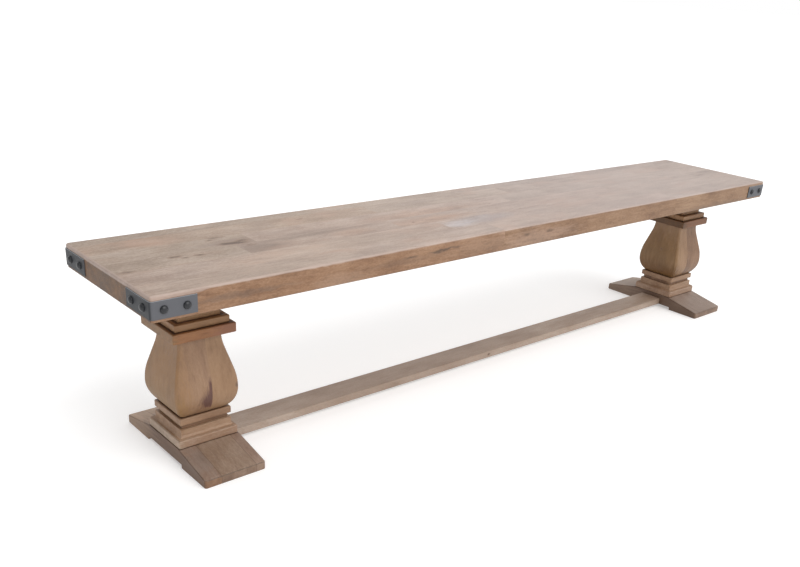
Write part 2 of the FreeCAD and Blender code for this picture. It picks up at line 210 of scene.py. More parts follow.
# Colours of bare wood from its darkest streak to its palest
SEAT_TOP_STOPS = (
    (0.0, (0.1, 0.058, 0.038)),
    (0.3, (0.2, 0.14, 0.101)),
    (0.52, (0.278, 0.205, 0.158)),
    (0.75, (0.348, 0.266, 0.21)),
    (1.0, (0.44, 0.352, 0.29)),
)
SEAT_SIDE_STOPS = (
    (0.0, (0.074, 0.03, 0.012)),
    (0.3, (0.156, 0.073, 0.033)),
    (0.52, (0.226, 0.117, 0.058)),
    (0.75, (0.29, 0.163, 0.089)),
    (1.0, (0.36, 0.225, 0.136)),
)
PEDESTAL_STOPS = (
    (0.0, (0.08, 0.038, 0.019)),
    (0.3, (0.17, 0.095, 0.053)),
    (0.52, (0.24, 0.147, 0.089)),
    (0.75, (0.3, 0.196, 0.125)),
    (1.0, (0.38, 0.277, 0.19)),
)
FOOT_STOPS = (
    (0.0, (0.08, 0.046, 0.03)),
    (0.3, (0.16, 0.102, 0.069)),
    (0.52, (0.225, 0.152, 0.108)),
    (0.75, (0.285, 0.205, 0.152)),
    (1.0, (0.36, 0.28, 0.222)),
)
FOOT_SIDE_STOPS = (
    (0.0, (0.05, 0.025, 0.014)),
    (0.3, (0.105, 0.059, 0.035)),
    (0.52, (0.154, 0.091, 0.056)),
    (0.75, (0.2, 0.126, 0.083)),
    (1.0, (0.26, 0.18, 0.126)),
)

# Noise layers of the figure as stretch along the grain, scale, detail and roughness
LAYERS = {
    "broad": (0.45, 14.0, 2.0, 0.5),
    "soft": (0.24, 58.0, 3.0, 0.6),
    "smudge": (0.2, 80.0, 3.0, 0.55),
    "streak": (0.13, 170.0, 4.0, 0.65),
    "fibre": (0.06, 600.0, 2.0, 0.6),
    "speckle": (0.4, 330.0, 2.0, 0.7),
    "pore": (0.1, 1100.0, 1.0, 0.5),
    "hue": (0.5, 11.0, 3.0, 0.6),
}
# How far each layer moves the tone, on the seat and on smoother wood
SEAT_FIGURE = {
    "broad": 0.48, "soft": 0.36, "streak": 0.26, "fibre": 0.1, "speckle": 0.42, "rings": 0.07,
    "smudge": 0.1, "pore": 0.06,
}
SMOOTH_FIGURE = {
    "broad": 0.5, "soft": 0.42, "streak": 0.1, "fibre": 0.03, "speckle": 0.14, "rings": 0.04,
    "smudge": 0.1, "pore": 0.04,
}

TINTS = {
    "plain": (1.0, 1.0, 1.0),
    "tan": (1.0, 0.985, 0.94),
    "rose": (1.02, 0.97, 0.965),
    "grey": (0.96, 0.98, 1.0),
    "honey": (1.04, 0.975, 0.89),
    "amber": (1.04, 0.97, 0.83),
    "gold": (1.14, 1.0, 0.74),
    "russet": (1.12, 0.79, 0.44),
    "umber": (1.09, 0.92, 0.7),
    "ash": (0.98, 1.03, 1.12),
    "drab": (0.97, 1.02, 1.04),
    "sand": (0.98, 1.05, 1.08),
}
KNOT_COLOUR = (0.068, 0.039, 0.023)
KNOT_RIM_COLOUR = (0.2, 0.113, 0.068)
# Dark glue lines, and the dark glaze and painted shade round what stands on a piece
GLUE_GLAZE_AND_SHADE_COLOUR = (0.07, 0.036, 0.02)
LIME_COLOUR = (0.525, 0.432, 0.37)
# Lime and a painted highlight along the seat's upper arris
ARRIS_LIME_AND_HIGHLIGHT = (0.41, 0.315, 0.27)
# Painted sheen, paler and greyer, towards the seat's far end
FAR_SHEEN_COLOUR = (0.41, 0.335, 0.318)
BLUSH_COLOUR = (0.41, 0.262, 0.19)
END_BROWN = (0.1, 0.042, 0.006)
COOL_COLOUR = (0.325, 0.258, 0.222)

# Between which values each mask goes from 0 to 1
MASKS = {
    "smudge": (0.56, 0.72),
    "pore": (0.62, 0.75),
    "rings": (0.4, 0.7),
    "end_face": (0.75, 0.95),
    "facing_up": (0.2, 0.65),
    "flat": (0.9, 0.99),
    "haze": (0.42, 0.68),
    "blush": (0.5, 0.72),
    "cool": (0.5, 0.3),
    "patch": (0.15, 0.8),
    "knot_rim": (0.1, 0.55),
    "knot": (0.35, 0.95),
    "beside_glue_line": (0.0003, 0.0013),
}
# The same for masks along the seat, in metres from its middle
SEAT_MASKS = {
    "paler": (-1.05, -0.35),
    "deeper": (-0.9, 0.3),
    "sheen_towards_far": (-0.9, 0.6),
    "far_end": (0.75, 1.15),
    "fainter_arris": (-0.7, -0.2),
    "beside_straps": (0.99, 1.04),
}
# How much of each colour shows where its mask is full
COVER = {
    "blush": 0.55, "cool": 0.3, "far_sheen": 0.5, "knot_rim": 0.5, "knot": 0.75, "glue_line": 0.45,
    "glaze": 0.85, "end_brown": 0.7,
}

# How far along the grain a step of the seed moves a board's figure, and what sets its hues apart
FIGURE_STRIDE = 3.1
HUE_SEED = 9.0
# How much paler the seat's top gets to the right, as painted sheen, and how much darker and clearer its
# far end is
PALER_SHEEN_TONE = 0.24
FAR_END_TONE = 0.12
FAR_END_FADE = 0.12
# How deep the seat's figure is on its sides and top, and how much deeper on top to the right
SIDE_DEPTH = 1.35
TOP_DEPTH = 0.9
DEPTH_GAIN = 1.25
# On end grain the soft layer counts for more, and the streaks for less
END_SOFTNESS = 0.5
END_STREAK_LOSS = 0.6
# Growth rings, the depth of the pith that they go round, how far that strays sideways and down,
# and how far the soft and broad layers push the rings, in radians
RING_SPACING = 0.009
PITH_DEPTH = 0.11
PITH_SWAY = 0.03
RING_SOFT_PUSH = 4.0
RING_BROAD_PUSH = 16.0
# How far a knot and the slow drift of the grain bend the figure
KNOT_BEND = 0.012
DRIFT_BEND = 0.05
# How far noise pushes the outline of a knot or patch, and the share of that across the grain
MARK_WARP = 0.03
CROSS_WARP = 0.4
# How ragged streaks and speckles make those outlines
PATCH_STREAKS = 1.1
KNOT_STREAKS = 0.9
KNOT_SPECKLES = 0.5
# Stretch along and across the grain, and scale, of the noises that push outlines and bend grain
PUSH_NOISE = (1.6, 3, 30.0)
DRIFT_NOISE = (1.8, 4, 1.0)
# How far noise makes the edge of the dark glaze and painted shade wander, and how soft that edge is
GLAZE_AND_SHADE_WANDER = 0.004
GLAZE_AND_SHADE_EDGE = (-0.001, 0.0015)
# How strong the figure is in the end grain's brown, and how pale that brown is
END_FIGURE = 1.6
END_LEVEL = 1.7
# The band of lime and painted highlight under the seat's upper arris: its depth, its soft edge,
# how much deeper it is beside the straps and how ragged it is
ARRIS_DEPTH = 0.006
ARRIS_EDGE = 0.003
ARRIS_DROP = 0.005
ARRIS_WANDER = 0.003
# How much of the arris's lime and painted highlight is gone towards the right
ARRIS_FADE = 0.75
PORE_RELIEF = 0.0003


class Wood(Finish):
    """Open-grained limed wood. The grain is the axis that it runs along, and the seed gives a
    board a figure of its own, which bends round its knots."""

    def __init__(self, name, grain, seed, knots, mark_warp):
        super().__init__(name)
        axes = {"X": self.x, "Y": self.y, "Z": self.z}
        self.seed = seed
        self.along = axes.pop(grain)
        self.across, self.through = axes.values()
        push = self.coarse_noise(*PUSH_NOISE, "Color")
        pull = [mark_warp if axis == grain else mark_warp * CROSS_WARP for axis in "XYZ"]
        warp = self.shift(self.shift(push, "SUBTRACT", (0.5, 0.5, 0.5)), "MULTIPLY", pull)
        self.warped = self.shift(self.place, "ADD", warp)
        marks = [self.blob(self.warped, centre, reach) * strength for centre, reach, strength in knots]
        self.swirl = sum(marks[1:], marks[0]) if marks else 0.0
        self.drift = self.coarse_noise(*DRIFT_NOISE)
        self.bent = self.across + self.swirl * KNOT_BEND + self.drift * DRIFT_BEND
        self.far_along = self.along + seed * FIGURE_STRIDE
        self.broad = self.layer("broad", self.bent, self.through)
        self.soft = self.layer("soft", self.bent, self.through + seed)
        self.smudge = self.mask("smudge", self.layer("smudge", self.bent + seed, self.through))
        self.streak = self.layer("streak", self.bent, self.through + seed)
        self.fibre = self.layer("fibre", self.bent, self.through)
        self.speckle = self.layer("speckle", self.bent, self.through)
        self.pore = self.mask("pore", self.layer("pore", self.bent, self.through))
        normal = self.node("ShaderNodeNewGeometry", {}, {}, "Normal")
        normal_parts = dict(zip("XYZ", self.parts_of(normal)))
        self.upwards = normal_parts["Z"]
        self.end_face = self.mask("end_face", abs(normal_parts[grain]))
        self.facing_up = self.mask("facing_up", self.upwards)

    def coarse_noise(self, stretch_along, stretch_across, scale, out=0):
        """Slow noise, for what bends a board's marks and grain."""
        place = self.vector(
            self.along * stretch_along + self.seed, self.across * stretch_across,
            self.through * stretch_across,
        )
        return self.noise(place, scale, out=out)

    def layer(self, name, across, through):
        """One noise layer of the figure, drawn out along the grain."""
        stretch, scale, detail, roughness = LAYERS[name]
        return self.noise(self.vector(self.far_along * stretch, across, through), scale, detail, roughness)

    def mask(self, name, value):
        """A value turned into the mask of that name."""
        return self.rise(value, *MASKS[name])

    def seat_mask(self, name):
        """The mask of that name along the seat."""
        return self.rise(self.x, *SEAT_MASKS[name])

    def growth_rings(self):
        """Rings about a pith that lies off the board, where the broad layer lets them show."""
        across = self.bent + math.sin(self.seed * 5.3) * PITH_SWAY
        through = self.through - PITH_DEPTH - self.drift * PITH_SWAY
        radius = (across * across + through * through) ** 0.5
        push = self.soft * RING_SOFT_PUSH + self.broad * RING_BROAD_PUSH
        turn = radius * (2 * math.pi / RING_SPACING) + push
        return turn.sine() * 0.5 * self.mask("rings", self.broad)

    def detail(self, figure, end_shade):
        """How far the figure moves the tone, up or down."""
        return (
            (self.broad - 0.5) * figure["broad"]
            + (self.soft - 0.5) * (self.end_face * END_SOFTNESS + figure["soft"])
            + (self.streak - 0.5) * (1 - self.end_face * END_STREAK_LOSS) * figure["streak"]
            + (self.fibre - 0.5) * figure["fibre"]
            + (self.speckle - 0.5) * figure["speckle"]
            + self.growth_rings() * figure["rings"]
            - self.smudge * figure["smudge"]
            - self.pore * figure["pore"]
            - self.end_face * end_shade
        )

    def tinted(self, shade, stops, tint):
        """The colour of bare wood."""
        return self.mix(1.0, self.ramp(shade, stops), TINTS[tint], "MULTIPLY")

    def with_hues_and_far_sheen(self, colour, far_end):
        """Warm and cool stretches on the seat's top, and a painted sheen that pales it towards its far
        end.
        """
        stretch, scale, detail, roughness = LAYERS["hue"]
        place = self.vector(self.far_along * stretch + HUE_SEED, self.bent, self.through)
        hue = self.noise(place, scale, detail, roughness)
        blush = self.mask("blush", hue) * self.facing_up * COVER["blush"]
        colour = self.mix(blush, colour, BLUSH_COLOUR)
        cool = self.mask("cool", hue) * self.facing_up * COVER["cool"]
        colour = self.mix(cool, colour, COOL_COLOUR)
        far = self.seat_mask("sheen_towards_far") * self.facing_up
        share = far * COVER["far_sheen"] - far_end * FAR_END_FADE
        return self.mix(share, colour, FAR_SHEEN_COLOUR)

    def patched(self, colour, patch, detail):
        """A ragged patch of another colour, with the board's own figure in it."""
        centre, reach, strength, patch_colour = patch
        spread = self.blob(self.warped, centre, reach) + (self.streak - 0.5) * PATCH_STREAKS
        figured = self.scaled(patch_colour, detail + 1)
        return self.mix(self.mask("patch", spread) * strength, colour, figured)

    def knotted(self, colour):
        """Dark knots, each in a brown rim."""
        streaks = (self.streak - 0.5) * KNOT_STREAKS
        ragged = self.swirl + streaks + (self.speckle - 0.5) * KNOT_SPECKLES
        colour = self.mix(self.mask("knot_rim", ragged) * COVER["knot_rim"], colour, KNOT_RIM_COLOUR)
        return self.mix(self.mask("knot", ragged) * COVER["knot"], colour, KNOT_COLOUR)

    def glued(self, colour, place):
        """A fine dark glue line at a place along X."""
        line = 1 - self.mask("beside_glue_line", abs(self.x - place))
        return self.mix(line * COVER["glue_line"], colour, GLUE_GLAZE_AND_SHADE_COLOUR)

    def glazed_and_shaded(self, colour, reach):
        """Dark glaze and painted shade on top, from a pedestal's axis out to the reach of what stands
        there and shades it.
        """
        side_x = abs(abs(self.x) - PEDESTAL_X)
        off_axis = side_x.or_more(abs(self.y)) + (self.soft - 0.5) * GLAZE_AND_SHADE_WANDER
        recess = 1 - self.rise(off_axis, reach + GLAZE_AND_SHADE_EDGE[0], reach + GLAZE_AND_SHADE_EDGE[1])
        return self.mix(recess * self.facing_up * COVER["glaze"], colour, GLUE_GLAZE_AND_SHADE_COLOUR)

    def end_stain_and_arris_highlight(self, colour, detail):
        """Stained end grain, and lime with a painted highlight along the seat's upper arris."""
        end_brown = self.scaled(END_BROWN, detail * END_FIGURE + END_LEVEL)
        colour = self.mix(self.end_face * COVER["end_brown"], colour, end_brown)
        strap_side = self.rise(abs(self.x), *SEAT_MASKS["beside_straps"])
        drop = strap_side * ARRIS_DROP + (self.streak - 0.5) * ARRIS_WANDER
        arris = self.rise(self.z + drop, SEAT_TOP - ARRIS_DEPTH, SEAT_TOP - ARRIS_EDGE)
        side = 1 - self.mask("flat", self.upwards)
        # Lime and a painted highlight along the upper arris
        limed = arris * side * (1 - self.seat_mask("fainter_arris") * ARRIS_FADE)
        return self.mix(limed * (self.soft * 0.6 + 0.4), colour, ARRIS_LIME_AND_HIGHLIGHT)


def limed_wood(name, stops, figure, grain, seed, tint="plain", tone=0.0, side_stops=None,
               side_tint="plain", knots=(), patches=(), lime=0.25, side_lime=0.1, glaze_and_shade_reach=None,
               glue_lines=(), worn_top_and_sheen=False, end_shade=0.04, mark_warp=MARK_WARP):
    """The material of one board. The tone lightens or darkens it. Knots are (centre, reach,
    strength), patches add a colour to that, and glue lines are places along X."""
    board = Wood(name, grain, seed, knots, mark_warp)
    depth = 1.0
    # On the seat's top, painted sheen makes it paler to the right
    if worn_top_and_sheen:
        far_end = board.seat_mask("far_end") * board.facing_up
        paler = board.seat_mask("paler") * board.facing_up
        tone = tone + paler * PALER_SHEEN_TONE - far_end * FAR_END_TONE
        deeper = board.seat_mask("deeper") * board.facing_up
        depth = deeper * DEPTH_GAIN + SIDE_DEPTH - board.facing_up * (SIDE_DEPTH - TOP_DEPTH)
    detail = depth * board.detail(figure, end_shade)
    shade = 0.5 + tone + detail
    colour = board.tinted(shade, stops, tint)
    if side_stops:
        colour = board.mix(board.facing_up, board.tinted(shade, side_stops, side_tint), colour)
    haze = board.mask("haze", board.streak * 0.35 + board.speckle * 0.35 + board.broad * 0.3)
    lime_share = haze * (board.facing_up * (1 - side_lime) + side_lime) * lime
    colour = board.mix(lime_share, colour, LIME_COLOUR)
    if worn_top_and_sheen:
        colour = board.with_hues_and_far_sheen(colour, far_end)
    for patch in patches:
        colour = board.patched(colour, patch, detail)
    if knots:
        colour = board.knotted(colour)
    for place in glue_lines:
        colour = board.glued(colour, place)
    # Dark glaze and painted shade on top, round what stands there
    if glaze_and_shade_reach:
        colour = board.glazed_and_shaded(colour, glaze_and_shade_reach)
    if worn_top_and_sheen:
        colour = board.end_stain_and_arris_highlight(colour, detail)
    dullness = 0.42 + board.fibre * 0.14 + haze * 0.1
    relief = board.fibre * 0.5 + board.streak * 0.3 - board.pore * 0.8 + board.speckle * 0.2
    return board.finished({"Base Color": colour, "Roughness": dullness}, relief, PORE_RELIEF)


def dress(name, material):
    """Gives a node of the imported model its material."""
    node = nodes[name]
    node.data.materials.clear()
    node.data.materials.append(material)


# Seat staves

# Tint and tone of each lane's staves, from left to right
STAVES = {
    1: (("rose", 0.03), ("rose", 0.04), ("plain", 0.05)),
    2: (("rose", 0.04), ("rose", 0.03), ("plain", 0.05)),
    3: (("tan", -0.01), ("rose", -0.01), ("rose", 0.05), ("plain", 0.03)),
    4: (("tan", 0.03), ("rose", 0.06), ("plain", 0.03)),
    5: (("honey", -0.02), ("tan", -0.04), ("plain", 0.02)),
    6: (("tan", -0.05), ("grey", -0.05)),
}
# Tint of a stave's sides, by lane and stave
SIDE_TINTS = {(1, 2): "drab", (1, 3): "sand"}
# Knots as centre, reach and strength, by lane and stave
KNOTS = {
    (3, 1): (
        ((-0.975, -0.004, SEAT_TOP), (0.024, 0.013, 0.03), 1.05),
        ((-0.955, -0.018, SEAT_TOP), (0.02, 0.008, 0.03), 0.8),
        ((-0.918, -0.016, SEAT_TOP), (0.026, 0.01, 0.03), 0.95),
        ((-1.1, -0.05, SEAT_TOP), (0.04, 0.012, 0.03), 0.75),
    ),
    (4, 1): (
        ((-0.832, 0.03, SEAT_TOP), (0.036, 0.013, 0.03), 1.2),
        ((-0.8, 0.022, SEAT_TOP), (0.03, 0.012, 0.03), 1.1),
        ((-0.79, 0.038, SEAT_TOP), (0.026, 0.01, 0.03), 0.9),
        ((-0.828, 0.083, SEAT_TOP), (0.03, 0.01, 0.03), 1.0),
        ((-0.85, 0.07, SEAT_TOP), (0.02, 0.008, 0.03), 0.8),
    ),
    (3, 2): (((-0.79, -0.002, SEAT_TOP), (0.03, 0.012, 0.02), 0.7),),
    (3, 3): (((-0.335, -0.033, SEAT_TOP), (0.012, 0.005, 0.01), 0.8),),
    (5, 1): (((-0.569, 0.127, SEAT_TOP), (0.02, 0.006, 0.01), 0.7),),
    (4, 2): (((-0.005, 0.02, SEAT_TOP), (0.02, 0.006, 0.01), 0.7),),
    (1, 1): (
        ((-0.487, SEAT_FRONT, 0.437), (0.036, 0.02, 0.006), 1.0),
        ((-0.4, SEAT_FRONT, 0.438), (0.04, 0.02, 0.006), 1.3),
        ((-0.37, SEAT_FRONT, 0.441), (0.03, 0.02, 0.004), 1.1),
        ((-0.333, SEAT_FRONT, 0.4395), (0.026, 0.02, 0.005), 1.0),
        ((-0.656, SEAT_FRONT, 0.451), (0.012, 0.01, 0.005), 0.6),
    ),
    (1, 2): (
        ((-0.088, SEAT_FRONT, 0.437), (0.028, 0.02, 0.009), 0.9),
        ((0.003, SEAT_FRONT, 0.436), (0.028, 0.02, 0.009), 0.9),
    ),
}
UMBER = (0.15, 0.105, 0.08)
KNOT_BROWN = (0.17, 0.1, 0.075)
RUST = (0.34, 0.2, 0.13)
WHITE_WASH = (0.44, 0.42, 0.44)
BLUE_GREY = (0.25, 0.25, 0.28)
EDGE_GREY = (0.14, 0.085, 0.056)
EDGE_PALE = (0.25, 0.148, 0.09)
EDGE_BUFF = (0.3, 0.188, 0.125)
PALE_TAN = (0.41, 0.315, 0.252)
# Patches as centre, reach, strength and colour, by lane and stave
PATCHES = {
    (3, 2): (
        ((-0.78, -0.03, SEAT_TOP), (0.12, 0.05, 0.04), 0.45, UMBER),
        ((-0.62, 0.002, SEAT_TOP), (0.3, 0.02, 0.04), 0.5, UMBER),
        ((-0.52, -0.03, SEAT_TOP), (0.1, 0.04, 0.04), 0.35, RUST),
    ),
    (4, 1): (((-0.8, 0.03, SEAT_TOP), (0.12, 0.055, 0.04), 0.35, KNOT_BROWN),),
    (4, 2): (
        ((-0.6, 0.02, SEAT_TOP), (0.2, 0.02, 0.04), 0.3, UMBER),
        ((-0.25, 0.03, SEAT_TOP), (0.35, 0.05, 0.05), 0.45, BLUSH_COLOUR),
    ),
    (5, 1): (
        ((-0.961, 0.15, SEAT_TOP), (0.08, 0.012, 0.03), 0.45, RUST),
        ((-1.0, 0.107, SEAT_TOP), (0.07, 0.012, 0.03), 0.4, RUST),
    ),
    (2, 2): (
        ((-0.235, -0.1, SEAT_TOP), (0.09, 0.045, 0.06), 0.45, WHITE_WASH),
        ((-0.13, -0.085, SEAT_TOP), (0.16, 0.06, 0.06), 0.35, BLUE_GREY),
    ),
    (3, 3): (
        ((-0.2, -0.03, SEAT_TOP), (0.12, 0.02, 0.03), 0.35, RUST),
        ((-0.3, -0.03, SEAT_TOP), (0.25, 0.05, 0.05), 0.5, BLUSH_COLOUR),
    ),
    (1, 1): (
        ((-0.9, -0.17, SEAT_TOP), (0.45, 0.09, 0.008), 0.55, PALE_TAN),
        ((-0.23, SEAT_FRONT, 0.43), (0.2, 0.02, 0.04), 0.75, EDGE_PALE),
        ((-0.68, SEAT_FRONT, 0.415), (0.12, 0.02, 0.03), 0.9, EDGE_PALE),
        ((-0.12, SEAT_FRONT, 0.448), (0.13, 0.02, 0.03), 0.8, EDGE_BUFF),
        ((-0.95, SEAT_FRONT, 0.43), (0.2, 0.02, 0.012), 0.6, EDGE_GREY),
        ((-0.5, SEAT_FRONT, 0.43), (0.2, 0.02, 0.012), 0.3, EDGE_GREY),
    ),
    (1, 2): (((-0.04, SEAT_FRONT, 0.425), (0.24, 0.02, 0.04), 0.9, EDGE_BUFF),),
    (1, 3): (((0.85, SEAT_FRONT, 0.406), (0.4, 0.02, 0.022), 0.5, EDGE_GREY),),
    (2, 1): (((-0.65, -0.1, SEAT_TOP), (0.45, 0.09, 0.008), 0.5, PALE_TAN),),
}

for lane, staves in STAVES.items():
    for number, (tint, tone) in enumerate(staves, 1):
        key = (lane, number)
        finish = limed_wood(
            f"limed_seat_wood_{lane}_{number}", SEAT_TOP_STOPS, SEAT_FIGURE, "X",
            lane * 1.7 + number * 0.83, tint, tone, SEAT_SIDE_STOPS, SIDE_TINTS.get(key, "plain"),
            KNOTS.get(key, ()), PATCHES.get(key, ()), lime=0.5, worn_top_and_sheen=True, end_shade=0.3,
        )
        dress(f"seat_stave_{lane}_{number}", finish)


# Pedestals


def half_width(block):
    low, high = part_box(f"{block}_right")
    return (high.y - low.y) / 2


# The urn's foot, narrower than its belly
URN_FOOT_HALF_WIDTH = 0.055
# How far the dark glaze and painted shade show round what stands on a piece
GLAZE_AND_SHADE_ROUND_NECK = 0.006
GLAZE_AND_SHADE_ROUND_CAP_STEP = 0.005
GLAZE_AND_SHADE_ROUND_URN = 0.0035
GLAZE_AND_SHADE_ROUND_PLINTH = 0.0015
# Grain, tint, tone, lime and how far out from the axis the dark glaze and painted shade reach on top
BLOCKS = {
    "neck_block": ("Z", "gold", 0.07, 0.05, None),
    "cap_step": ("X", "gold", -0.02, 0.05, half_width("neck_block") + GLAZE_AND_SHADE_ROUND_NECK),
    "cap_plate": ("X", "russet", -0.1, 0.05, half_width("cap_step") + GLAZE_AND_SHADE_ROUND_CAP_STEP),
    "collar": ("X", "honey", -0.01, 0.1, URN_FOOT_HALF_WIDTH + GLAZE_AND_SHADE_ROUND_URN),
    "cove_block": ("X", "honey", -0.2, 0.0, None),
    "plinth_top": ("X", "honey", 0.05, 0.2, None),
    "plinth_base": ("X", "rose", 0.07, 0.4, None),
    "urn_outer": ("Z", "honey", -0.01, 0.1, None),
    "urn_inner": ("Z", "amber", 0.03, 0.05, None),
    "bearer": ("Y", "honey", -0.05, 0.1, None),
}
# How much darker the right pedestal's blocks are
RIGHT_SHADE = {
    "neck_block": 0.08, "cap_step": 0.05, "cap_plate": 0.16, "urn_outer": 0.13, "urn_inner": 0.02,
}
# Tint and tone of each foot board, in the left foot and in the right one
BOARDS = {
    "foot_outer_board": (("rose", -0.05), ("ash", 0.02)),
    "foot_middle_board": (("tan", 0.03), ("ash", 0.06)),
    "foot_inner_board": (("rose", 0.07), ("ash", 0.04)),
}
BOARD_SIDE_TINTS = {"foot_outer_board_left": "umber"}
URN_KNOTS = {
    "urn_inner_left": (((-0.876, -0.07, 0.166), (0.008, 0.03, 0.011), 1.3),),
    "urn_inner_right": (((0.87, -0.005, 0.205), (0.02, 0.009, 0.009), 1.0),),
}
WEDGE_RED = (0.1, 0.043, 0.03)
URN_RUST = (0.2, 0.11, 0.066)
FOOT_GREY = (0.17, 0.135, 0.115)
WARM_HONEY = (0.265, 0.143, 0.06)
# Dark honey: a stain low on the left urn, and painted shade under the seat on the right urn's inner face
DARK_HONEY_AND_SHADE = (0.19, 0.104, 0.034)
# Painted shade under the seat, on the right urn's inner face
DEEP_UNDER_SEAT_SHADE = (0.12, 0.052, 0.01)
CAP_BROWN = (0.17, 0.108, 0.045)
# Painted shade under the seat, on the right cap plate's inner face
CAP_UNDER_SEAT_SHADE = (0.085, 0.035, 0.006)
PLINTH_PALE = (0.32, 0.235, 0.17)
CAP_RED = (0.2, 0.08, 0.045)
RAIL_TAN = (0.2, 0.13, 0.09)
# The feet are paler towards the back, over the whole length of the bench
BACK_TAN = {"left": (0.445, 0.3, 0.2), "right": (0.345, 0.25, 0.185)}
BACK_CENTRE = (0.0, 0.2, 0.03)
BACK_REACH = (9.0, 0.24, 0.3)
# Patches on the pedestals' pieces, as on the seat
PEDESTAL_PATCHES = {
    "urn_outer_left": (
        ((-1.03, 0.0, 0.2), (0.07, 0.25, 0.3), 0.8, WARM_HONEY),
        ((-1.03, 0.0, 0.13), (0.07, 0.25, 0.08), 0.5, DARK_HONEY_AND_SHADE),
        ((-0.94, -0.08, 0.141), (0.042, 0.1, 0.03), 1.4, WEDGE_RED),
        ((-0.939, -0.08, 0.156), (0.03, 0.1, 0.036), 1.4, WEDGE_RED),
        ((-0.938, -0.08, 0.176), (0.012, 0.1, 0.036), 1.2, WEDGE_RED),
        ((-0.95, -0.07, 0.24), (0.012, 0.03, 0.08), 0.35, URN_RUST),
    ),
    "foot_outer_board_left": (((-1.0, -0.13, 0.035), (0.05, 0.09, 0.06), 0.5, FOOT_GREY),),
    "cap_plate_left": (
        ((-0.895, -0.09, CAP_MIDDLE), (0.07, 0.06, 0.05), 0.7, CAP_RED),
        ((-1.04, 0.0, CAP_MIDDLE), (0.04, 0.3, 0.2), 0.8, CAP_BROWN),
    ),
    # Painted shade under the seat on the right cap plate's inner face
    "cap_plate_right": (((0.865, 0.0, CAP_MIDDLE), (0.06, 0.3, 0.2), 1.0, CAP_UNDER_SEAT_SHADE),),
    "plinth_base_left": (((-1.03, 0.0, 0.08), (0.04, 0.3, 0.2), 0.9, PLINTH_PALE),),
    # Painted shade under the seat on the right urn's inner face
    "urn_inner_right": (
        ((0.86, 0.0, 0.22), (0.06, 0.25, 0.3), 0.75, DARK_HONEY_AND_SHADE),
        ((0.87, 0.0, 0.12), (0.08, 0.3, 0.07), 0.8, DEEP_UNDER_SEAT_SHADE),
    ),
}

for side, seed in (("left", 0.0), ("right", 7.0)):
    for number, (block, (grain, tint, tone, lime, glaze_and_shade_reach)) in enumerate(BLOCKS.items()):
        name = f"{block}_{side}"
        if side == "right":
            tone -= RIGHT_SHADE.get(block, 0.0)
        finish = limed_wood(
            f"brown_wood_{name}", PEDESTAL_STOPS, SMOOTH_FIGURE, grain, seed + number * 1.31,
            tint, tone, knots=URN_KNOTS.get(name, ()), patches=PEDESTAL_PATCHES.get(name, ()),
            lime=lime, side_lime=0.6, glaze_and_shade_reach=glaze_and_shade_reach, end_shade=-0.05, mark_warp=0.006,
        )
        dress(name, finish)
    for number, (board, finishes) in enumerate(BOARDS.items()):
        name = f"{board}_{side}"
        tint, tone = finishes[side == "right"]
        low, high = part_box(name)
        back = (BACK_CENTRE, BACK_REACH, 0.8, BACK_TAN[side])
        finish = limed_wood(
            f"foot_wood_{name}", FOOT_STOPS, SMOOTH_FIGURE, "Y", seed + number * 2.17, tint, tone,
            FOOT_SIDE_STOPS, BOARD_SIDE_TINTS.get(name, "plain"),
            patches=(back, *PEDESTAL_PATCHES.get(name, ())), lime=0.2, side_lime=0.3,
            # Painted contact shadow on the foot's top, round the plinth that stands on it
            glaze_and_shade_reach=half_width("plinth_base") + GLAZE_AND_SHADE_ROUND_PLINTH,
            glue_lines=(low.x, high.x), end_shade=-0.03,
        )
        dress(name, finish)

stretcher_wood = limed_wood(
    "stretcher_wood", FOOT_STOPS, SMOOTH_FIGURE, "X", 4.4, "plain", 0.35,
    knots=(((-0.005, -0.038, 0.02), (0.008, 0.01, 0.006), 1.4),),
    patches=(((-0.3, 0.0, 0.03), (0.75, 0.6, 0.6), 0.35, RAIL_TAN),), lime=0.45, side_lime=0.8,
    mark_warp=0.004,
)
dress("stretcher", stretcher_wood)


# Metal

GUNMETAL = (0.088, 0.09, 0.1)
GUNMETAL_WORN = (0.12, 0.125, 0.135)
# Painted shade for the faces that look along X
GUNMETAL_PAINTED_END_SHADE = (0.014, 0.016, 0.02)
STEEL_EDGE_HIGHLIGHT = (0.24, 0.25, 0.27)
STUD_BLACK = (0.012, 0.013, 0.016)
STUD_WORN = (0.03, 0.032, 0.038)
ZINC = (0.4, 0.4, 0.41)
ZINC_WORN = (0.55, 0.55, 0.56)
STRAP_RELIEF = 0.0001
FINE_RELIEF = 0.00005
# A painted highlight along a strap's upper edge, and its soft border
EDGE_HIGHLIGHT_WIDTH = 0.0009
EDGE_HIGHLIGHT_BORDER = 0.0008


